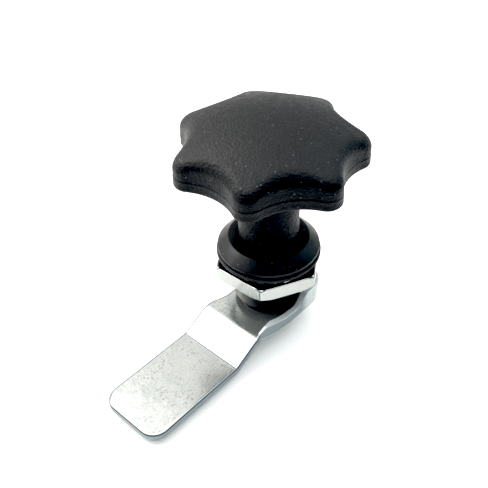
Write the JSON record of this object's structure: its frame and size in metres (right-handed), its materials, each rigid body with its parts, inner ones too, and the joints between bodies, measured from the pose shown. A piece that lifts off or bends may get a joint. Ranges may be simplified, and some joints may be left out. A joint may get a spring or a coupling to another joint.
{
  "type": "quarter-turn cam latch",
  "caption": "Quarter-turn cabinet latch: a black star knob turns a cranked plated cam through a round housing clamped in a panel by a hex nut.",
  "frame": {"origin": "on the spindle axis, in the plane of the panel's outer face, where the gasket seats", "axes": "+Z along the spindle axis out of the panel, towards the knob; the cam points along -Y at rest; +X is the side of the cam's raised rim"},
  "size_m": [0.0493, 0.0802, 0.0669],
  "materials": {
    "knob_nylon": "fine satin grain",
    "housing_coat": "satin black powder coat",
    "seal_rubber": "matt",
    "zinc_plate": "bright zinc plate",
    "turned_steel": "turned",
    "washer_plastic": "natural"
  },
  "bodies": {
    "housing": {"housing": "housing_coat", "flange_gasket": "seal_rubber", "thrust_washer": "washer_plastic", "wave_spring": "turned_steel"},
    "rotor": {"star_knob": "knob_nylon", "knob_insert": "turned_steel", "spindle": "turned_steel", "neck_seal": "seal_rubber", "spindle_o_ring": "seal_rubber", "retaining_ring": "turned_steel", "stop_disc": "housing_coat", "cam": "zinc_plate", "cam_washer": "zinc_plate", "cam_spring_washer": "zinc_plate", "cam_bolt": "zinc_plate"},
    "clamp_washer": {"lock_washer": "zinc_plate"},
    "nut": {"hex_nut": "zinc_plate"}
  },
  "joints": [
    {"name": "knob_turn", "type": "hinge", "parent": "housing", "child": "rotor", "pos_m": [0, 0, 0], "axis": [0, 0, 1], "range_deg": [0, 90]},
    {"name": "washer_travel", "type": "slide", "parent": "housing", "child": "clamp_washer", "axis": [0, 0, -1], "range_m": [0, 0.0015]},
    {"name": "nut_spin", "type": "hinge", "parent": "clamp_washer", "child": "nut", "pos_m": [0, 0, 0], "axis": [0, 0, -1], "range_deg": [0, 360]}
  ],
  "couplings": [
    {"joint": "washer_travel", "follows": "nut_spin", "m_per_rad": 0.0002387}
  ]
}
